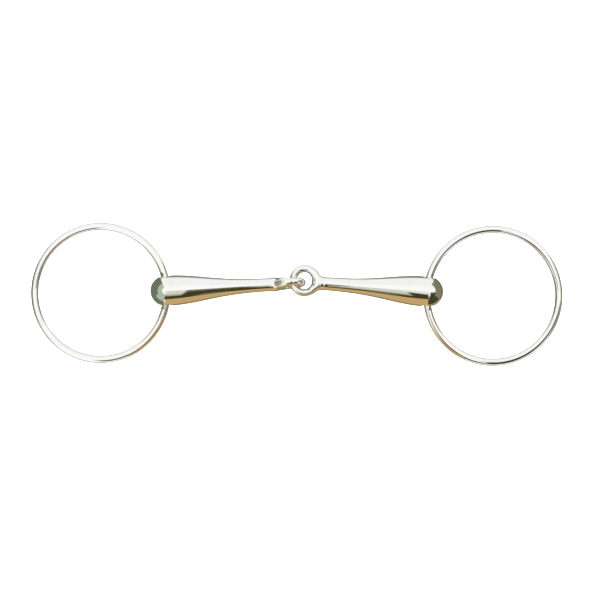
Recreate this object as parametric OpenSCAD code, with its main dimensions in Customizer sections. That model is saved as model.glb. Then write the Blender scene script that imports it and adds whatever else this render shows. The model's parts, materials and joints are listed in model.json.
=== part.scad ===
// Loose-ring snaffle bit with a single joint in the middle of the mouthpiece.
// Two tapered arms hook together through their eyes, and a ring slides through a
// hole across the thick end of each arm. The bit is drawn as it lies on a table:
// the arms are level, the far side of each ring has dropped to the table, the
// right eye lies flat and the left eye stands on its edge.
// Millimetres, +Z up, origin on the table under the middle of the bit.

/* [Rings] */
// Outside diameter of a ring
ring_od = 75; // [70:1:80]
// Diameter of the round ring wire
ring_wire_d = 4; // [3.8:0.1:4.2]
// Length of weld that closes a ring, as an angle round it
weld_angle = 7; // [4:1:12]
// Where the left ring is closed, as an angle from its barrel hole
left_weld_at = 205; // [90:5:270]
// Where the right ring is closed, as an angle from its barrel hole
right_weld_at = 160; // [90:5:270]

/* [Arms] */
// Distance between the two ring holes
hole_spacing = 139.8; // [139.5:0.1:140.1]
// Diameter of a barrel at its ring hole
barrel_d = 16.4; // [16:0.1:17]
// Diameter of a barrel at its neck, next to the eye
neck_d = 7; // [6.6:0.1:7.2]
// Distance from the ring hole at which a third of the swelling is left
swell_length = 28.3; // [26:0.1:30]
// Sharpness of the swelling's shoulder
swell_power = 2.2; // [2:0.1:3]
// Diameter of the loose hole that the ring slides through
ring_hole_d = 5.6; // [5.5:0.1:6]
// How far the rounded mouth of the ring hole is opened out
hole_mouth = 0.8; // [0.4:0.1:1]

/* [Eyes] */
// Distance from the left ring hole to the middle of the left eye
left_reach = 66.8; // [66.7:0.05:66.9]
// Distance from the right ring hole to the middle of the right eye
right_reach = 66; // [65.9:0.05:66.1]
// Thickness of the eye
eye_wire_d = 4; // [3.8:0.1:4]
// Width of the hole through the eye
eye_hole_w = 8; // [7.9:0.1:8.1]
// How much longer the hole is across the arm than it is wide
eye_stretch = 0.8; // [0.6:0.1:0.8]
// How far the eye sits to one side of the arm's axis
eye_offset = 0.8; // [0.7:0.05:0.9]
// Distance from the middle of the eye to where its web meets the neck
web_length = 9.3; // [9:0.1:10]
// Distance from the middle of the eye to the weld on the barrel
shank_length = 12.5; // [11:0.5:14]

/* [As it lies] */
// Turn of the left arm in the plane of the table
left_yaw = 3.35; // [3.3:0.05:3.5]
// Turn of the right arm in the plane of the table
right_yaw = -4.4; // [-4.45:0.05:-4.3]
// Roll of the left eye from lying flat
left_roll = 81.6; // [80:0.2:84]
// Roll of the right eye from lying flat
right_roll = 180; // [178:1:182]
// Turn of the left ring in its hole, in the plane of the table
left_skew = -1.5; // [-1.5:0.1:0]
// Turn of the right ring in its hole, in the plane of the table
right_skew = 0.7; // [0:0.1:1.5]
// How much further from the front edge the left hole lies than the right
hole_rise = 0.43; // [0.35:0.01:0.5]

/* [Hidden] */
$fn = 96;

steel = "gainsboro";
weld_steel = "silver";

barrel_r = barrel_d / 2;
neck_r = neck_d / 2;
ring_wire_r = ring_wire_d / 2;
ring_r = ring_od / 2 - ring_wire_r;
eye_wire_r = eye_wire_d / 2;
eye_r = eye_hole_w / 2 + eye_wire_r;

// The web is a little thinner than the rod and the neck that it joins, so that it
// dies into them.
web_inset = 0.15;
neck_overlap = 0.4;

// The ring is curved and its hole is straight, so the hole shares the bow of the
// wire between its middle and its mouths.
wire_bow = ring_r - sqrt(ring_r * ring_r - barrel_r * barrel_r);
ring_seat = ring_r - wire_bow / 2;

// The far side of a ring rests on the table.
arm_z = barrel_r;
ring_drop = asin((arm_z - ring_wire_r) / (ring_seat + ring_r));

// Height of the middle of the bit above the ring holes, seen from over the table:
// the two rings reach equally far each way from the origin.
left_turn = left_yaw + left_skew;
right_turn = right_yaw + right_skew;
seat_flat = ring_seat * cos(ring_drop);
ring_fall = seat_flat * (sin(left_turn) - sin(right_turn)) / 2;
left_hole = [-hole_spacing / 2, ring_fall + hole_rise / 2];
right_hole = [hole_spacing / 2, ring_fall - hole_rise / 2];

// Radius of a barrel at a distance s from its ring hole: the neck, and on top of
// it a bell that falls away smoothly.
function barrel_radius(s) =
    neck_r + (barrel_r - neck_r) * exp(-pow(s / swell_length, swell_power));

// An arm's own frame: its ring hole at the origin, its axis along +X.
module on_left_arm()
    translate([left_hole[0], left_hole[1], arm_z])
        rotate([0, 0, left_yaw])
            children();

module on_right_arm()
    translate([right_hole[0], right_hole[1], arm_z])
        rotate([0, 0, 180 + right_yaw])
            children();

// One barrel: a half ball at the ring hole, then the swelling that runs down to
// the neck, with a loose hole across the ball.
module barrel(reach) {
    steps = 28;
    seam = reach - shank_length;
    profile = [for (i = [0 : steps]) let (s = seam * i / steps) [barrel_radius(s), s]];
    difference() {
        union() {
            sphere(r = barrel_r);
            rotate([0, 90, 0])
                rotate_extrude()
                    polygon(concat([[0, 0]], profile, [[0, seam]]));
        }
        rotate([90, 0, 0])
            cylinder(d = ring_hole_d, h = 3 * barrel_r, center = true);
        for (side = [-1, 1])
            rotate([side * 90, 0, 0])
                translate([0, 0, barrel_r - 1.5 * hole_mouth])
                    cylinder(r1 = ring_hole_d / 2,
                             r2 = ring_hole_d / 2 + 2 * hole_mouth,
                             h = 3 * hole_mouth);
    }
}

// Half of the eye's rod, bent round one end of the stretched hole.
module half_loop()
    rotate_extrude(angle = 180)
        translate([eye_r, 0])
            circle(r = eye_wire_r, $fn = 64);

// What the rod leaves open: a disc with a hollow rim, which bites a little into
// the rod.
module hole_spool()
    rotate_extrude()
        difference() {
            translate([0, -neck_d])
                square([eye_r, 2 * neck_d]);
            translate([eye_r, 0])
                circle(r = eye_wire_r - 2 * web_inset, $fn = 64);
        }

// The loop of rod round the eye's hole.
module loop(half) {
    translate([0, half, 0])
        half_loop();
    translate([0, -half, 0])
        rotate([0, 0, 180])
            half_loop();
    for (side = [-1, 1])
        translate([side * eye_r, 0, 0])
            rotate([90, 0, 0])
                cylinder(r = eye_wire_r, h = 2 * half, center = true, $fn = 64);
}

// The web that fills the crotch between the loop and the neck.
module web(half) {
    corner = eye_r * cos(45);
    difference() {
        hull() {
            for (side = [-1, 1])
                translate([-corner, side * (corner + half), 0])
                    sphere(r = eye_wire_r - web_inset, $fn = 32);
            translate([-web_length, -eye_offset, 0])
                rotate([0, -90, 0])
                    cylinder(r = neck_r - web_inset, h = neck_overlap, $fn = 32);
        }
        for (side = [-1, 1])
            translate([0, side * half, 0])
                hole_spool();
    }
}

// One eye: the loop, its web, and the shank that is welded to the barrel.
module eye(reach, roll) {
    half = eye_stretch / 2;
    rotate([roll, 0, 0])
        translate([reach, eye_offset, 0]) {
            loop(half);
            web(half);
        }
    translate([reach - shank_length, 0, 0])
        rotate([0, 90, 0])
            cylinder(r = neck_r, h = shank_length - web_length);
}

// A ring's own frame: the ring is flat round the origin, and its barrel hole is
// on +X at angle 0.
module on_left_ring()
    on_left_arm()
        rotate([0, -ring_drop, left_skew])
            translate([-ring_seat, 0, 0])
                children();

module on_right_ring()
    on_right_arm()
        rotate([0, -ring_drop, right_skew])
            translate([-ring_seat, 0, 0])
                children();

// A stretch of ring wire from one angle to another.
module wire_arc(start, sweep)
    rotate([0, 0, start])
        rotate_extrude(angle = sweep, $fn = 180)
            translate([ring_r, 0])
                circle(r = ring_wire_r, $fn = 48);

// The bent wire, open where the weld closes it.
module open_ring(weld_at)
    wire_arc(weld_at + weld_angle / 2, 360 - weld_angle);

// The weld, ground flush with the wire.
module ring_weld(weld_at)
    wire_arc(weld_at - weld_angle / 2, weld_angle);

module left_barrel() color(steel) on_left_arm() barrel(left_reach);
module left_eye() color(steel) on_left_arm() eye(left_reach, left_roll);
module left_ring() color(steel) on_left_ring() open_ring(left_weld_at);
module left_ring_weld() color(weld_steel) on_left_ring() ring_weld(left_weld_at);
module right_barrel() color(steel) on_right_arm() barrel(right_reach);
module right_eye() color(steel) on_right_arm() eye(right_reach, right_roll);
module right_ring() color(steel) on_right_ring() open_ring(right_weld_at);
module right_ring_weld() color(weld_steel) on_right_ring() ring_weld(right_weld_at);

left_barrel();
left_eye();
left_ring();
left_ring_weld();
right_barrel();
right_eye();
right_ring();
right_ring_weld();
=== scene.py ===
# %% [markdown]
# A loose-ring snaffle bit is two tapered steel arms hooked together in the middle,
# with a round ring running loose through the thick end of each arm. All of it is
# polished to a mirror, so what one sees on it is the room around it. The model
# needs two things above all: surfaces without a single ripple, and a studio worth
# reflecting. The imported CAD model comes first, because it places every piece.

# %% Load the frame
import json
import math

import bmesh
import bpy
import numpy as np
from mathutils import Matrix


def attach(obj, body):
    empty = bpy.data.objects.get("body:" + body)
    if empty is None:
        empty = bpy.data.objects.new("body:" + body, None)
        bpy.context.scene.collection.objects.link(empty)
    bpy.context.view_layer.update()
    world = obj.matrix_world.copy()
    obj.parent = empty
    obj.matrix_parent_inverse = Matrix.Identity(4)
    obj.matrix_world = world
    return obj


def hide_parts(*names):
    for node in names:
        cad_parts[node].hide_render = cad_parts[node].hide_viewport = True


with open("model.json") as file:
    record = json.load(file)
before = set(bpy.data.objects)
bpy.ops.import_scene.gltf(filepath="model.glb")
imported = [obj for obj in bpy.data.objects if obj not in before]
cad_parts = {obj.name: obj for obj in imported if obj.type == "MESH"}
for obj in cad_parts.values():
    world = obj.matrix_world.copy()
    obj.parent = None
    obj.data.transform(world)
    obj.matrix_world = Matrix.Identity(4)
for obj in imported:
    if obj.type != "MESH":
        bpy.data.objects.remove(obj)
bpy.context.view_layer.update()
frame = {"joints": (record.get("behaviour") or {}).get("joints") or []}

joints = {joint["name"]: joint for joint in frame["joints"]}
print("joints:", sorted(joints))

# %% [markdown]
# These are the bit's driving dimensions, in metres. Places aren't typed in: the
# joint that a ring swings on gives the middle of the ring hole and the direction
# that it is drilled in, and the arm runs at a right angle to that.

# %% Sizes
MM = 0.001
ball_r = 8.2 * MM
neck_r = 3.5 * MM
swell_length = 28.3 * MM
swell_power = 2.2
hole_r = 2.8 * MM
mouth_r = 3.9 * MM
ring_r = 35.5 * MM
wire_r = 2.0 * MM
eye_r = 6.0 * MM
rod_r = 2.0 * MM
eye_half_stretch = 0.4 * MM
eye_offset = 0.8 * MM
shank_length = 12.5 * MM
reach = {"left": 66.8 * MM, "right": 66.0 * MM}
roll = {"left": math.radians(81.6), "right": math.radians(180)}
skew = {"left": math.radians(-1.5), "right": math.radians(0.7)}
weld_at = {"left": math.radians(205), "right": math.radians(160)}
half_weld = math.radians(3.5)


def arm_axes(side):
    """The arm's own axes as rows: towards the eye, along the ring hole, up."""
    joint = joints[side + "_ring_swing"]
    hole = np.array(joint["axis"]) / np.linalg.norm(joint["axis"])
    return np.array([[hole[1], -hole[0], 0], hole, [0, 0, 1]]), np.array(joint["pos_m"])


for side in ("left", "right"):
    print(side, "arm points along", np.round(arm_axes(side)[0][0], 3))

# %% [markdown]
# A round surface shows its facets in the way that reflections break up. Every
# piece here has a formula, so its true normals are known as well, and each mesh is
# given them. Then a reflection runs over the faces as if they weren't there. Flat
# ends keep one normal all over, so that their edges stay crisp.

# %% From points and faces to a mesh


def unit(vectors):
    """Each vector divided by its length."""
    return vectors / np.maximum(np.linalg.norm(vectors, axis=-1, keepdims=True), 1e-12)


def grid_faces(rows, columns):
    """Four-sided faces between grid neighbours; the last column meets the first."""
    row, column = np.meshgrid(np.arange(rows - 1), np.arange(columns), indexing="ij")
    beside = (column + 1) % columns
    corners = [row * columns + column, row * columns + beside]
    corners += [corners[1] + columns, corners[0] + columns]
    return np.stack(corners, axis=-1).reshape(-1, 4)


def build_mesh(name, points, faces, normals, caps=()):
    """A mesh with the given normal at each point; caps are loops of points to fill."""
    used, index = np.unique(np.concatenate([f.ravel() for f in faces]), return_inverse=True)
    renumber = np.zeros(len(points), dtype=int)
    renumber[used] = np.arange(len(used))
    faces = [renumber[f] for f in faces]
    caps = [renumber[np.asarray(cap)] for cap in caps]
    mesh = bpy.data.meshes.new(name)
    whole = [face for group in faces for face in group.tolist()] + [cap.tolist() for cap in caps]
    mesh.from_pydata(points[used].tolist(), [], whole)
    shell = bmesh.new()
    shell.from_mesh(mesh)
    bmesh.ops.recalc_face_normals(shell, faces=shell.faces)
    shell.to_mesh(mesh)
    shell.free()
    corner = np.empty(len(mesh.loops), dtype=int)
    mesh.loops.foreach_get("vertex_index", corner)
    at_corner = normals[used][corner]
    for polygon in mesh.polygons[len(mesh.polygons) - len(caps):]:
        at_corner[list(polygon.loop_indices)] = polygon.normal
    mesh.shade_smooth()
    mesh.normals_split_custom_set(at_corner.tolist())
    return mesh


def add_piece(name, mesh, body, node, material):
    """Puts a mesh in the scene, rides it on its body and hides the CAD part that it takes the place of."""
    mesh.materials.append(material)
    piece = bpy.data.objects.new(name, mesh)
    bpy.context.scene.collection.objects.link(piece)
    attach(piece, body)
    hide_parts(node)
    print(name, "has", len(mesh.vertices), "points")


# %% [markdown]
# Shader maths reads badly as a list of nodes and links. This small class wraps a
# socket, so that a mask can be written as an ordinary expression, and each
# operation adds its own Math node.

# %% Shader maths as expressions


class Value:
    def __init__(self, tree, socket):
        self.tree = tree
        self.socket = socket

    def math(self, operation, *inputs, clamp=False):
        settings = {"operation": operation, "use_clamp": clamp}
        return add_node(self.tree, "ShaderNodeMath", settings, dict(enumerate(inputs)))

    def __add__(self, other):
        return self.math("ADD", self, other)

    def __sub__(self, other):
        return self.math("SUBTRACT", self, other)

    def __rsub__(self, other):
        return self.math("SUBTRACT", other, self)

    def __mul__(self, other):
        return self.math("MULTIPLY", self, other)

    __radd__ = __add__
    __rmul__ = __mul__

    def rise(self, low, high):
        """0 up to low, 1 from high on, and a smooth step between."""
        settings = {"interpolation_type": "SMOOTHSTEP", "clamp": True}
        return add_node(self.tree, "ShaderNodeMapRange", settings, {0: self, 1: low, 2: high})


def add_node(tree, kind, settings, sockets, output=0):
    """One node: its settings first, then a link or a value for each socket."""
    node = tree.nodes.new(kind)
    for name, value in settings.items():
        setattr(node, name, value)
    for name, value in sockets.items():
        if isinstance(value, Value):
            tree.links.new(value.socket, node.inputs[name])
        else:
            node.inputs[name].default_value = value
    return Value(tree, node.outputs[output])


def mix_colour(mask, low, high):
    """Colour low where the mask is 0, high where it is 1."""
    return add_node(mask.tree, "ShaderNodeMix", {"data_type": "RGBA"}, {0: mask, 6: low, 7: high}, output=2)


print("shader helpers ready")

# %% [markdown]
# Polished stainless steel is never a perfect mirror. Its colour drifts a little
# between warm and cool, hands leave dull smears, the polishing wheel and the
# leather leave hairlines, and steel that has rubbed on steel turns hazy. The
# roughness carries most of this, and the relief is kept so faint that it only
# softens the reflections. Where a piece is rubbed, a ball-shaped mask round that
# spot adds the haze.

# %% Polished steel


def polished_steel(name, colour, rub_centre, rub_radius):
    """Steel with drifting tint, smears, hairlines and a hazy patch round rub_centre."""
    material = bpy.data.materials.new(name)
    material.use_nodes = True
    tree = material.node_tree
    shader = tree.nodes["Principled BSDF"]
    where = add_node(tree, "ShaderNodeTexCoord", {}, {}, "Object")

    def noise(vector, scale, detail, distortion=0.0):
        sockets = {"Vector": vector, "Scale": scale, "Detail": detail, "Distortion": distortion}
        return add_node(tree, "ShaderNodeTexNoise", {}, sockets)

    def stretched(turn, scale):
        return add_node(tree, "ShaderNodeMapping", {}, {"Vector": where, "Rotation": turn, "Scale": scale})

    drift = noise(where, 60.0, 3.0)
    smears = noise(where, 180.0, 6.0, 0.8).rise(0.50, 0.72)
    hairlines = noise(stretched((0.0, 0.2, 0.1), (110.0, 5200.0, 5200.0)), 1.0, 2.0).rise(0.56, 0.74)
    nicks = noise(stretched((0.5, 0.9, 0.8), (260.0, 2600.0, 2600.0)), 1.0, 1.0).rise(0.71, 0.76)
    distance = add_node(tree, "ShaderNodeVectorMath", {"operation": "DISTANCE"},
                        {0: where, 1: rub_centre}, "Value")
    rubbed = (1 - distance.rise(0.5 * rub_radius, rub_radius)) * (0.4 + 0.6 * smears)

    roughness = 0.03 + 0.03 * drift + 0.05 * smears + 0.04 * hairlines + 0.10 * nicks + 0.14 * rubbed
    warm = (colour[0], 0.99 * colour[1], 0.965 * colour[2], 1.0)
    dull = tuple(0.92 * part for part in colour[:3]) + (1.0,)
    tint = mix_colour(drift.rise(0.38, 0.62), colour, warm)
    tint = mix_colour(0.35 * smears + 0.5 * rubbed, tint, dull)
    relief = 0.5 * hairlines - 1.0 * nicks + 0.25 * smears
    bump = add_node(tree, "ShaderNodeBump", {}, {"Height": relief, "Strength": 0.06, "Distance": 0.00001})
    shader.inputs["Metallic"].default_value = 1.0
    for socket, value in {"Base Color": tint, "Roughness": roughness, "Normal": bump}.items():
        tree.links.new(value.socket, shader.inputs[socket])
    print("finish:", name)
    return material


steel = (0.86, 0.855, 0.84, 1.0)
weld_steel = (0.82, 0.81, 0.79, 1.0)
joint_middle = tuple(joints["middle_joint"]["pos_m"])

# %% [markdown]
# A ring is a round wire bent into a circle and closed with a weld that is ground
# flush. A wire carried along a circle is the simplest surface there is: one angle
# runs round the ring and the other round the wire. The wire and its weld share
# their formula, so the seam between them hardly shows. The ring hangs in the
# middle of its bent hole, and its far side has dropped to the table.

# %% The rings
wire_bow = ring_r - math.sqrt(ring_r**2 - ball_r**2)
ring_seat = ring_r - wire_bow / 2
ring_drop = math.asin((ball_r - wire_r) / (ring_seat + ring_r))
ring_rows = 540
weld_rows = 12
wire_columns = 56
ring_rub = 9 * MM


def turn_about(axis, angle):
    """Matrix that turns row vectors about one of the three axes by an angle."""
    a, b = [(1, 2), (2, 0), (0, 1)][axis]
    matrix = np.eye(3)
    matrix[a, a] = matrix[b, b] = math.cos(angle)
    matrix[a, b] = math.sin(angle)
    matrix[b, a] = -math.sin(angle)
    return matrix


def bent_wire(name, side, start, end, rows):
    """Wire centre at ring_r (cos u, sin u, 0), skin at wire_r from it at angle v."""
    u, v = np.meshgrid(np.linspace(start, end, rows),
                       np.linspace(0, 2 * np.pi, wire_columns, endpoint=False), indexing="ij")
    outward = np.stack([np.cos(u) * np.cos(v), np.sin(u) * np.cos(v), np.sin(v)], axis=-1)
    centre = ring_r * np.stack([np.cos(u), np.sin(u), 0 * u], axis=-1)
    lie = turn_about(1, -ring_drop) @ turn_about(2, skew[side])
    axes, hole = arm_axes(side)
    points = ((centre + wire_r * outward - [ring_seat, 0, 0]) @ lie @ axes + hole).reshape(-1, 3)
    normals = (outward @ lie @ axes).reshape(-1, 3)
    first = np.arange(wire_columns)
    last = first + (rows - 1) * wire_columns
    return build_mesh(name, points, [grid_faces(rows, wire_columns)], normals, caps=[first, last])


for side in ("left", "right"):
    body = side + "_ring_body"
    hole_middle = tuple(arm_axes(side)[1])
    wire = bent_wire(side + "_ring_wire", side, weld_at[side] + half_weld,
                     weld_at[side] - half_weld + 2 * np.pi, ring_rows)
    finish = polished_steel(side + "_ring_steel", steel, hole_middle, ring_rub)
    add_piece(side + "_ring_wire", wire, body, side + "_ring", finish)
    weld = bent_wire(side + "_ring_seam", side, weld_at[side] - half_weld,
                     weld_at[side] + half_weld, weld_rows)
    finish = polished_steel(side + "_weld_steel", weld_steel, hole_middle, ring_rub)
    add_piece(side + "_ring_seam", weld, body, side + "_ring_weld", finish)

# %% [markdown]
# A barrel is a half ball at the ring hole and a bell-shaped swelling that runs
# down to a slim neck. Its skin is turned from that outline. The ring hole is part
# of the same surface: round each mouth the square cells are drawn out into
# circles, the cells inside are left out, and the edge rolls over into the hole. A
# Boolean would cut the hole too, but it leaves slivers and a sharp rim, where a
# real bit's hole is rounded off so that the ring can't be cut by it.

# %% The barrels
barrel_columns = 160
cell_angle = 2 * math.pi / barrel_columns
mouth_block = 9
mouth_spread = 18
rim_steps = 10
wall_steps = 14
barrel_rub = 10 * MM


def barrel_radius(s):
    """The neck, plus a bell that falls away as exp(-(s / length) ^ power)."""
    return neck_r + (ball_r - neck_r) * np.exp(-np.abs(s / swell_length)**swell_power)


def skin_radius(x):
    """A ball before the ring hole, the bell after it."""
    ball = np.sqrt(np.maximum(ball_r**2 - x**2, 0))
    return np.where(x < 0, ball, barrel_radius(x))


def skin_normal(points):
    """The slope of y^2 + z^2 - radius(x)^2: (-radius * radius', y, z)."""
    x = points[..., 0]
    step = 1e-3 * MM
    steepness = (skin_radius(x + step)**2 - skin_radius(x - step)**2) / (4 * step)
    steepness = np.where(x < 0, -x, steepness)
    return unit(np.stack([-steepness, points[..., 1], points[..., 2]], axis=-1))


def skin_at(a, b):
    """Place on the skin a rows beyond the ring hole and b columns round from it."""
    x = np.where(a < 0, ball_r * np.sin(a * cell_angle), a * cell_angle * ball_r)
    radius = skin_radius(x)
    return np.stack([x, radius * np.cos(b * cell_angle), radius * np.sin(b * cell_angle)], axis=-1)


def mouth_skin():
    """Cells round a mouth: each square of cells is drawn out between circle and square."""
    a, b = np.meshgrid(np.arange(-mouth_spread, mouth_spread + 1),
                       np.arange(-mouth_spread, mouth_spread + 1), indexing="ij")
    square = np.maximum(np.maximum(np.abs(a), np.abs(b)), 1)
    outer = skin_at(a * mouth_spread / square, b * mouth_spread / square)[..., [0, 2]]
    circle = mouth_r * unit(outer)
    share = np.clip((square - mouth_block) / (mouth_spread - mouth_block), 0, 1)[..., None]
    flat = circle + share * (outer - circle)
    height = np.sqrt(np.maximum(skin_radius(flat[..., 0])**2 - flat[..., 1]**2, 0))
    return a, b, np.stack([flat[..., 0], height, flat[..., 1]], axis=-1)


def rolled_edge(rim):
    """Quadratic curve from the skin over the corner where its tangent meets the wall."""
    inward = unit(-rim * [1, 0, 1])
    normal = skin_normal(rim)
    lean = np.sum(normal * inward, axis=-1, keepdims=True)
    down = unit(normal[:, 1:2] * inward - lean * [0, 1, 0])
    reach_in = (mouth_r - hole_r) / np.sum(down * inward, axis=-1, keepdims=True)
    corner = rim + reach_in * down
    foot = corner - reach_in * [0, 1, 0]
    t = np.linspace(0, 1, rim_steps)[:, None, None]
    return (1 - t)**2 * rim + 2 * t * (1 - t) * corner + t**2 * foot


def barrel(side):
    """The turned skin, two drawn mouths, and the rolled tunnel that joins them."""
    seam = reach[side] - shank_length
    ball_rows = np.arange(1 - barrel_columns // 4, 1)
    bell_rows = np.arange(1, int(seam / (cell_angle * ball_r)) + 1)
    rows = np.concatenate([ball_rows, bell_rows])
    hole_row = len(ball_rows) - 1
    columns = np.arange(barrel_columns)
    points = skin_at(rows[:, None] + 0.0 * columns, columns + 0.0 * rows[:, None])
    seam_row = skin_at(np.full((1, barrel_columns), seam / (cell_angle * ball_r)), columns[None, :] * 1.0)
    points = np.concatenate([points, seam_row])
    faces = grid_faces(len(points), barrel_columns)
    a, b, mouth = mouth_skin()
    row_of = faces[:, 0] // barrel_columns - hole_row
    column_of = faces[:, 0] % barrel_columns
    cut = np.zeros(len(faces), dtype=bool)
    rims = []
    for centre, turned in ((0, 1), (barrel_columns // 2, -1)):
        points[hole_row + a, (centre + b) % barrel_columns] = mouth * [1, turned, turned]
        across = (column_of - centre + barrel_columns // 2) % barrel_columns - barrel_columns // 2
        cut |= (np.abs(row_of + 0.5) < mouth_block) & (np.abs(across + 0.5) < mouth_block)
        edge = np.maximum(np.abs(a), np.abs(b)) == mouth_block
        order = np.argsort(np.arctan2(turned * b[edge], a[edge]))
        rims.append(((hole_row + a[edge]) * barrel_columns + (centre + b[edge]) % barrel_columns)[order])
    points = points.reshape(-1, 3)
    normals = skin_normal(points)
    top = rolled_edge(points[rims[0]])
    low = top * [1, -1, 1]
    depth = np.linspace(0, 1, wall_steps)[1:-1, None, None]
    tunnel = np.concatenate([top, top[-1] + depth * (low[-1] - top[-1]), low[::-1]])
    along = np.gradient(tunnel, axis=0)
    around = np.roll(tunnel, -1, axis=1) - np.roll(tunnel, 1, axis=1)
    tunnel_normals = unit(np.cross(around, along))
    outward = np.sum(tunnel_normals[0] * normals[rims[0]], axis=-1, keepdims=True)
    tunnel_normals = tunnel_normals * np.sign(outward)
    inner = grid_faces(len(tunnel), len(rims[0]))
    names = np.arange(len(points), len(points) + tunnel.shape[0] * tunnel.shape[1]).reshape(tunnel.shape[:2])
    names[0] = rims[0]
    names[-1] = rims[1]
    pole = len(points) + tunnel.shape[0] * tunnel.shape[1]
    points = np.concatenate([points, tunnel.reshape(-1, 3), [[-ball_r, 0, 0]]])
    normals = np.concatenate([normals, tunnel_normals.reshape(-1, 3), [[-1, 0, 0]]])
    fan = np.stack([columns, np.roll(columns, -1), np.full(barrel_columns, pole)], axis=1)
    last = columns + (pole - tunnel.shape[0] * tunnel.shape[1] - barrel_columns)
    axes, hole = arm_axes(side)
    return build_mesh(side + "_arm_barrel", points @ axes + hole, [faces[~cut], names.ravel()[inner], fan],
                      normals @ axes, caps=[last])


for side in ("left", "right"):
    body = side + "_arm"
    finish = polished_steel(side + "_barrel_steel", steel, tuple(arm_axes(side)[1]), barrel_rub)
    add_piece(side + "_arm_barrel", barrel(side), body, side + "_barrel", finish)

# %% [markdown]
# An eye is a loop of rod whose ends run together into the neck. A smith draws it
# in one flowing shape, so there is no line where the loop ends and the neck
# begins. Simple shapes are joined by their distances here: the loop, two legs and
# the neck each say how far off they are, and a smooth minimum of the four rounds
# every crotch. From the far end of the loop to the neck the steel gets thicker,
# which is done by measuring heights there with a stretched ruler. A grid that runs
# round the hole and round the section is then drawn onto that shape, and the slope
# of the distance gives the normals.

# %% Distances to the eye
eye_blend = 1.6 * MM
leg_root = np.array([-9.3, -0.8, 0.0]) * MM
leg_root_r = 2.3 * MM
leg_tip_r = 1.85 * MM
eye_swell = 0.4
eye_swell_start = 3.0 * MM
eye_swell_end = -9.0 * MM
neck_start = -17.0 * MM
neck_stop = -7.6 * MM
tip_angle = math.radians(45)


def smooth_min(a, b):
    """The lesser distance, less blend / 6 * (1 - gap / blend)^3 where both are close."""
    closeness = np.maximum(1 - np.abs(a - b) / eye_blend, 0)
    return np.minimum(a, b) - eye_blend / 6 * closeness**3


def taper(points, start, end, start_r, end_r):
    """Distance to a straight rod whose radius runs evenly from one end to the other."""
    way = end - start
    share = np.clip((points - start) @ way / (way @ way), 0, 1)
    gap = np.linalg.norm(points - start - share[..., None] * way, axis=-1)
    return gap - start_r - share * (end_r - start_r)


def eye_distance(points, side):
    """Smooth minimum of loop, legs and neck; loop and legs read z / (1 + swelling)."""
    x, y, z = np.moveaxis(points, -1, 0)
    swelling = np.clip((eye_swell_start - x) / (eye_swell_start - eye_swell_end), 0, 1)
    thinned = z / (1 + eye_swell * swelling**2 * (3 - 2 * swelling))
    across = np.maximum(np.abs(y) - eye_half_stretch, 0)
    joined = np.hypot(np.hypot(x, across) - eye_r, thinned) - rod_r
    flattened = np.stack([x, y, thinned], axis=-1)
    for sign in (-1, 1):
        tip = np.array([-eye_r * math.cos(tip_angle),
                        sign * (eye_r * math.sin(tip_angle) + eye_half_stretch), 0])
        joined = smooth_min(joined, taper(flattened, leg_root, tip, leg_root_r, leg_tip_r))
    on_axis = np.clip(x, neck_start, neck_stop)
    neck = np.sqrt((x - on_axis)**2 + (y + eye_offset)**2 + z**2) - barrel_radius(reach[side] + on_axis)
    return smooth_min(joined, neck)


def steepest(points, side):
    """Central differences of the distance along each axis."""
    shifts = 1e-3 * MM * np.eye(3)
    parts = [eye_distance(points + s, side) - eye_distance(points - s, side) for s in shifts]
    return np.stack(parts, axis=-1) / (2e-3 * MM)


def settle(points, side, rounds=14):
    """Newton's steps: each point moves against the slope until its distance is 0."""
    for _ in range(rounds):
        slope = steepest(points, side)
        size = np.maximum(np.sum(slope**2, axis=-1), 0.05)
        points = points - slope * (eye_distance(points, side) / size)[..., None]
    return points


to_steel = float(eye_distance(np.zeros(3), "left"))
print("steel at the middle of the hole is", round(to_steel / MM, 2), "mm away")

# %% [markdown]
# Each spoke of the grid starts at the hole and ends at the outside of the eye.
# Looking along a spoke, the first and the last place where the distance turns
# negative are those two ends. Spokes are set at even steps of the outline, so the
# long sides of the neck get as many as they need. The neck is made too long, then
# cut off flat where the barrel begins.

# %% The eyes
spokes = 300
section = 100
look_angles = 1440
look_steps = 1400
look_length = 21 * MM
eye_rub = 8 * MM


def eye_ends(side):
    """Near and far end of the steel along evenly spread spokes round the hole."""
    bearing = np.linspace(-math.pi, math.pi, look_angles + 1)
    length = np.linspace(0, look_length, look_steps)
    away = np.stack([np.cos(bearing), np.sin(bearing), 0 * bearing], axis=-1)
    inside = eye_distance(away[:, None, :] * length[:, None], side) < 0
    near = length[np.argmax(inside, axis=1)]
    far = length[look_steps - 1 - np.argmax(inside[:, ::-1], axis=1)]
    outline = np.linalg.norm(np.diff(away * far[:, None], axis=0), axis=1)
    travelled = np.concatenate([[0], np.cumsum(outline + 0.5 * eye_r * np.diff(bearing))])
    even = np.linspace(0, travelled[-1], spokes, endpoint=False)
    return [np.interp(even, travelled, values) for values in (bearing, near, far)]


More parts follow.
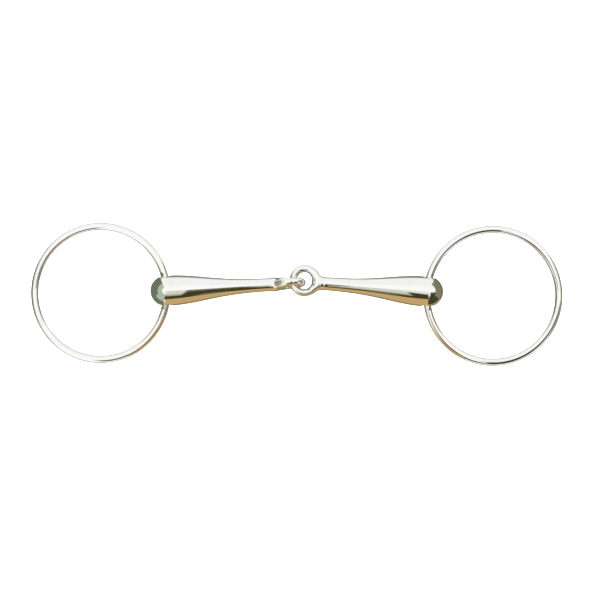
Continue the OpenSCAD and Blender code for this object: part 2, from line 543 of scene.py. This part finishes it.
def eye(side):
    """Section at each spoke: middle - half * cos v outward, rod_r * sin v up, then settled."""
    bearing, near, far = eye_ends(side)
    v = np.linspace(0, 2 * math.pi, section, endpoint=False)
    outward = (near + far)[:, None] / 2 - (far - near)[:, None] / 2 * np.cos(v)
    points = np.stack([outward * np.cos(bearing)[:, None], outward * np.sin(bearing)[:, None],
                       rod_r * np.sin(v) + 0 * outward], axis=-1)
    points = settle(points, side).reshape(-1, 3)
    row, column = np.meshgrid(np.arange(spokes), np.arange(section), indexing="ij")
    after, beside = (row + 1) % spokes, (column + 1) % section
    faces = np.stack([row * section + column, row * section + beside,
                      after * section + beside, after * section + column], axis=-1).reshape(-1, 4)
    rough = bpy.data.meshes.new(side + "_rough_eye")
    rough.from_pydata(points.tolist(), [], faces.tolist())
    shell = bmesh.new()
    shell.from_mesh(rough)
    every = shell.verts[:] + shell.edges[:] + shell.faces[:]
    bmesh.ops.bisect_plane(shell, geom=every, plane_co=(-shank_length, 0, 0), plane_no=(1, 0, 0),
                           clear_inner=True, dist=1e-6)
    rim = [edge for edge in shell.edges if edge.is_boundary]
    bmesh.ops.contextual_create(shell, geom=rim)
    shell.verts.ensure_lookup_table()
    points = np.array([vertex.co for vertex in shell.verts])
    whole = [[vertex.index for vertex in face.verts] for face in shell.faces]
    bpy.data.meshes.remove(rough)
    shell.free()
    cap = max(whole, key=len)
    groups = [np.array([f for f in whole if len(f) == size]) for size in (3, 4, 5)]
    normals = unit(steepest(points, side))
    lie = turn_about(0, roll[side])
    axes, hole = arm_axes(side)
    points = (points + [reach[side], eye_offset, 0]) @ lie @ axes + hole
    faces = [group for group in groups if len(group)]
    return build_mesh(side + "_arm_eye", points, faces, normals @ lie @ axes, caps=[cap])


for side in ("left", "right"):
    body = side + "_arm"
    finish = polished_steel(side + "_eye_steel", steel, joint_middle, eye_rub)
    add_piece(side + "_arm_eye", eye(side), body, side + "_eye", finish)

# %% [markdown]
# A mirror needs a room. The world is that room: white all over the upper half,
# with a greenish wall on the left and a dim one on the right, and darker below,
# which draws the thin outline round every rod. The camera itself sees a plain
# white backdrop, so all of this lives only in the reflections.

# %% The room
world = bpy.data.worlds.new("studio")
bpy.context.scene.world = world
world.use_nodes = True
room = world.node_tree
way = add_node(room, "ShaderNodeTexCoord", {}, {}, "Generated")
east = add_node(room, "ShaderNodeSeparateXYZ", {}, {"Vector": way}, "X")
north = add_node(room, "ShaderNodeSeparateXYZ", {}, {"Vector": way}, "Y")
up = add_node(room, "ShaderNodeSeparateXYZ", {}, {"Vector": way}, "Z")

softbox = (1.12, 1.12, 1.13, 1.0)
back_light = (1.03, 1.04, 1.06, 1.0)
sage = (0.66, 0.71, 0.62, 1.0)
green_wall = (0.16, 0.19, 0.12, 1.0)
dim_wall = (0.33, 0.31, 0.22, 1.0)
low_back = (0.30, 0.27, 0.24, 1.0)
low_front = (0.32, 0.28, 0.20, 1.0)
low_side = (0.20, 0.19, 0.11, 1.0)

high = mix_colour(north.rise(0.3, 0.8), softbox, back_light)
high = mix_colour((0 - east).rise(0.62, 0.85), high, sage)
high = mix_colour((0 - east).rise(0.88, 0.95), high, green_wall)
high = mix_colour(east.rise(0.80, 0.90), high, dim_wall)
low = mix_colour(north.rise(-0.2, 0.3), low_front, low_back)
low = mix_colour(east.math("ABSOLUTE", east).rise(0.25, 0.6), low, low_side)
lifted = up + 0.15 * north.rise(0.0, 0.5)
colour = mix_colour(lifted.rise(-0.42, -0.14), low, high)

seen = add_node(room, "ShaderNodeLightPath", {}, {}, "Is Camera Ray")
backdrop = (1.0, 1.0, 1.0, 1.0)
colour = mix_colour(seen, colour, backdrop)
room.links.new(colour.socket, room.nodes["Background"].inputs["Color"])
print("room has", len(room.nodes), "nodes")

# %% [markdown]
# The darkest bands on a polished rod come from things close by, and they change
# along the bit because the bit is large beside their distance. So these are real
# sheets: flags overhead, pale on the left and dark on the right; a warm sheet that
# runs along the table and curls up in front of the mouthpiece; a small white card
# over the right ball; and low fences close round the two balls, which darken their
# ends and leave the rings bright. Only reflections see them.

# %% Cards that only reflections see
flag_height = 0.30
flag_front = -0.90
fence_radius = 10 * MM
fence_posts = 25
fence_foot = 0.2 * MM
rim_fade = 1.5 * MM
deep_fade = 3 * MM


def glowing(name, pattern):
    """A sheet material whose glow follows a pattern over the place on it."""
    material = bpy.data.materials.new(name)
    material.use_nodes = True
    tree = material.node_tree
    tree.nodes.remove(tree.nodes["Principled BSDF"])
    where = add_node(tree, "ShaderNodeTexCoord", {}, {}, "Object")
    x = add_node(tree, "ShaderNodeSeparateXYZ", {}, {"Vector": where}, "X")
    y = add_node(tree, "ShaderNodeSeparateXYZ", {}, {"Vector": where}, "Y")
    z = add_node(tree, "ShaderNodeSeparateXYZ", {}, {"Vector": where}, "Z")
    glow = add_node(tree, "ShaderNodeEmission", {}, {"Color": pattern(x, y, z)})
    tree.links.new(glow.socket, tree.nodes["Material Output"].inputs["Surface"])
    return material


def card(name, rows, material):
    """A sheet between rows of points, hidden from everything but mirrors."""
    rows = np.array(rows, dtype=float)
    count, across = rows.shape[:2]
    row, column = np.meshgrid(np.arange(count - 1), np.arange(across - 1), indexing="ij")
    start = (row * across + column).ravel()
    faces = np.stack([start, start + 1, start + 1 + across, start + across], axis=1)
    mesh = bpy.data.meshes.new(name)
    mesh.from_pydata(rows.reshape(-1, 3).tolist(), [], faces.tolist())
    mesh.materials.append(material)
    sheet = bpy.data.objects.new(name, mesh)
    bpy.context.scene.collection.objects.link(sheet)
    sheet.visible_camera = False
    sheet.visible_diffuse = False
    sheet.visible_shadow = False


def flat_card(name, x_low, x_high, y_low, y_high, material):
    """A level sheet at the height of the flags."""
    rows = [[(x_low, y, flag_height), (x_high, y, flag_height)] for y in (y_low, y_high)]
    card(name, rows, material)


def flag_pattern(x, y, z):
    """Pale on the left and dark on the right, both darker towards the front."""
    pale_near = (0.72, 0.77, 0.68, 1.0)
    pale_far = (0.46, 0.46, 0.32, 1.0)
    dark_near = (0.20, 0.22, 0.16, 1.0)
    dark_far = (0.055, 0.050, 0.015, 1.0)
    pale = mix_colour((0 - y).rise(0.10, 0.22), pale_near, pale_far)
    pale = mix_colour((0 - y).rise(0.22, 0.29), pale, dark_far)
    dark = mix_colour((0 - y).rise(0.02, 0.14), dark_near, dark_far)
    return mix_colour(x.rise(-0.010, 0.006), pale, dark)


def warm_pattern(x, y, z):
    """Warm, and dimmer close to the bit, where the bit shades it."""
    warm = (0.62, 0.42, 0.18, 1.0)
    underneath = (0.24, 0.18, 0.06, 1.0)
    return mix_colour(y.rise(-0.024, -0.012), warm, underneath)


def dusk_pattern(x, y, z):
    """Darker towards the front, beyond the right ring."""
    near = (0.50, 0.48, 0.40, 1.0)
    far = (0.20, 0.17, 0.10, 1.0)
    return mix_colour((0 - y).rise(0.19, 0.40), near, far)


def dawn_pattern(x, y, z):
    """Darker towards the front, beyond the left ring."""
    near = (0.36, 0.36, 0.28, 1.0)
    far = (0.11, 0.10, 0.06, 1.0)
    return mix_colour((0 - y).rise(0.17, 0.36), near, far)


def white_pattern(x, y, z):
    """White behind, pale green in front."""
    white = (0.95, 0.98, 0.97, 1.0)
    pale_green = (0.66, 0.72, 0.66, 1.0)
    return mix_colour((0 - y).rise(6 * MM, 14 * MM), white, pale_green)


def end_pattern(high_colour, deep_colour, rim_colour, deep_low, deep_high):
    """Bands over the height of a fence: the rim colour at the table, then deep, then high."""
    def pattern(x, y, z):
        lower = mix_colour(z.rise(deep_low - rim_fade, deep_low), rim_colour, deep_colour)
        return mix_colour(z.rise(deep_high, deep_high + deep_fade), lower, high_colour)
    return pattern


def fence(name, side, start, end, top, pattern):
    """An upright arc of card round one ball, from the table up to a height."""
    centre = arm_axes(side)[1]
    turn = np.radians(np.linspace(start, end, fence_posts))
    round_it = centre[:2] + fence_radius * np.stack([np.cos(turn), np.sin(turn)], axis=1)
    rows = [[(x, y, z) for x, y in round_it] for z in (fence_foot, top)]
    card(name, rows, glowing(name, pattern))


flag = glowing("flag_sheet", flag_pattern)
flat_card("flag", -0.075, 0.090, flag_front, -0.014, flag)
flat_card("side_flag", 0.16, 0.60, flag_front, -0.03, flag)
dusk = glowing("dusk_sheet", dusk_pattern)
flat_card("right_ring_flag", 0.085, 0.16, flag_front, -0.19, dusk)
dawn = glowing("dawn_sheet", dawn_pattern)
flat_card("left_ring_flag", -0.20, -0.075, flag_front, -0.17, dawn)

# %% [markdown]
# The warm sheet is given by rows from the bit forwards. Each row has a place, a
# height, and a lean that lifts its right end and lowers its left one. It is only
# as wide as the mouthpiece, so that the rings pick up little of its colour. The
# white card hangs over the right ball and keeps the dark flag off its top.

# %% The warm sheet and the white card
warm_half = 76 * MM
warm_rows = [(-0.010, 0.0003, 0.0), (-0.05, 0.001, 0.0), (-0.08, 0.006, 0.0), (-0.092, 0.061, 0.0095)]
warm_points = [[(-warm_half, y, z - lean), (warm_half, y, z + lean)] for y, z, lean in warm_rows]
card("warm_sheet", warm_points, glowing("warm_sheet", warm_pattern))
white_height = 60 * MM
white_rows = [[(0.046, -0.002, white_height), (0.078, -0.002, white_height)],
              [(0.046, -0.008, white_height), (0.078, -0.024, white_height)]]
card("white_card", white_rows, glowing("white_card", white_pattern))
print("the warm sheet is", round(2 * warm_half / MM), "mm wide")

# %% [markdown]
# The fences stand close to the balls, so that of each ring only the first few
# millimetres see them. Angles are counted from the right, towards the back.

# %% The fences round the balls
dark_olive = (0.10, 0.09, 0.03, 1.0)
deep_green = (0.16, 0.20, 0.13, 1.0)
pale_sage = (0.50, 0.57, 0.42, 1.0)
olive_tan = (0.36, 0.29, 0.13, 1.0)
black_green = (0.05, 0.06, 0.035, 1.0)
olive_grey = (0.24, 0.23, 0.13, 1.0)
fence("left_end_card", "left", 112, 205, 33 * MM,
      end_pattern(pale_sage, deep_green, dark_olive, 3 * MM, 17 * MM))
fence("left_front_card", "left", 205, 262, 33 * MM,
      end_pattern(pale_sage, deep_green, olive_tan, 9 * MM, 13 * MM))
fence("right_front_card", "right", -90, -32, 18.5 * MM,
      end_pattern(black_green, black_green, olive_tan, 12 * MM, 15 * MM))
fence("right_end_card", "right", -32, 62, 19 * MM,
      end_pattern(olive_grey, deep_green, dark_olive, 3 * MM, 9 * MM))
print("cards in place")

# %% [markdown]
# The floor is a plain pale sheet, lit so brightly from above that it turns white.
# It lies below the bit, like the paper under a glass table, so that a ring can
# swing down past the mouthpiece without sinking into it, and so that no clear
# shadow falls on it. Reflections don't see the sheet and look past it into the room.

# %% Floor and light
floor_half = 3.0
floor_drop = 80 * MM
sun_strength = 4.5
sun_spread = math.radians(120)
floor_mesh = bpy.data.meshes.new("floor")
floor_turns = ((-1, -1), (1, -1), (1, 1), (-1, 1))
floor_corners = [(x * floor_half, y * floor_half, -floor_drop) for x, y in floor_turns]
floor_mesh.from_pydata(floor_corners, [], [(0, 1, 2, 3)])
floor_material = bpy.data.materials.new("pale_sheet")
floor_material.use_nodes = True
floor_tree = floor_material.node_tree
floor_shader = floor_tree.nodes["Principled BSDF"]
floor_where = add_node(floor_tree, "ShaderNodeTexCoord", {}, {}, "Object")
grain = add_node(floor_tree, "ShaderNodeTexNoise", {}, {"Vector": floor_where, "Scale": 400.0, "Detail": 4.0})
pale = mix_colour(grain, (0.86, 0.86, 0.86, 1.0), (0.90, 0.90, 0.90, 1.0))
floor_tree.links.new(pale.socket, floor_shader.inputs["Base Color"])
floor_shader.inputs["Roughness"].default_value = 0.9
floor_shader.inputs["Specular IOR Level"].default_value = 0.0
floor_mesh.materials.append(floor_material)
floor = bpy.data.objects.new("floor", floor_mesh)
bpy.context.scene.collection.objects.link(floor)
floor.visible_glossy = False

sun_data = bpy.data.lights.new("wide_sun", "SUN")
sun_data.energy = sun_strength
sun_data.angle = sun_spread
sun = bpy.data.objects.new("wide_sun", sun_data)
sun.visible_glossy = False
bpy.context.scene.collection.objects.link(sun)
print("sun energy", sun_data.energy)

# %% [markdown]
# The camera looks straight down through a long lens, a little to the right of and
# in front of the middle of the bit. Its height follows from the width that the
# frame has to take in. Plain display colours keep the white of the sheet white.

# %% Camera
lens_mm = 250
sensor_mm = 36
frame_width = 319.9 * MM
camera_x = 1.7 * MM
camera_y = -3.0 * MM
camera_data = bpy.data.cameras.new("camera")
camera_data.lens = lens_mm
camera_data.sensor_width = sensor_mm
camera = bpy.data.objects.new("camera", camera_data)
camera.location = (camera_x, camera_y, ball_r + frame_width * lens_mm / sensor_mm)
bpy.context.scene.collection.objects.link(camera)
bpy.context.scene.camera = camera
bpy.context.scene.view_settings.view_transform = "Standard"
print("camera height in mm:", round(camera.location.z / MM))
